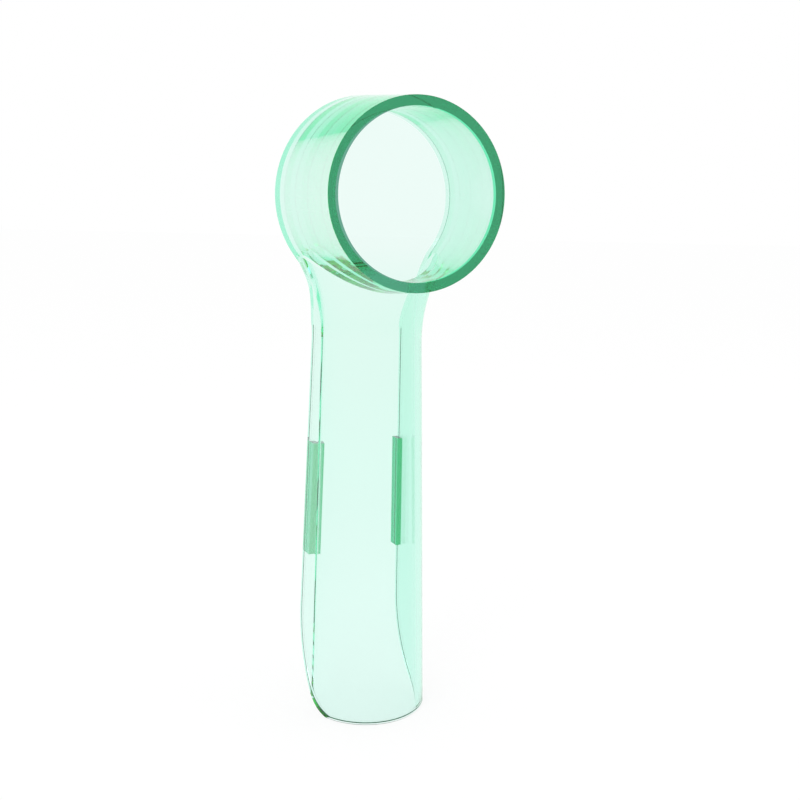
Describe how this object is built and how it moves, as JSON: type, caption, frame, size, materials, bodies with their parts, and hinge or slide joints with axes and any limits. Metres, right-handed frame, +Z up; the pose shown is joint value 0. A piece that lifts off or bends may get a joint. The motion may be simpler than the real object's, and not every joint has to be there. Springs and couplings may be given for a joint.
{
  "type": "toothbrush cover",
  "caption": "Clear clip-on cover for a round toothbrush head: a short drum with a closed face and an open back, above a U-shaped neck that snaps over the brush stem.",
  "frame": {"origin": "middle of the part's width and depth, level with the foot of the neck", "axes": "+Z up along the neck to the drum, -Y out of the drum's closed face, +Y out of its open back, X across the part"},
  "size_m": [0.022, 0.0156, 0.07],
  "materials": {
    "clear_mint": "clear mint-green moulded plastic, polished",
    "clear_disc": "the same clear plastic, seen through its thin flat face",
    "deep_mint_rib": "the same clear plastic, seen deeper green through the rib's length"
  },
  "bodies": {
    "root": {"front_disc": "clear_disc", "drum_wall": "clear_mint", "neck_front": "clear_mint", "left_side_wall": "clear_mint", "right_side_wall": "clear_mint", "left_shoulder": "clear_mint", "right_shoulder": "clear_mint", "left_snap_rib": "deep_mint_rib", "right_snap_rib": "deep_mint_rib"}
  },
  "joints": []
}
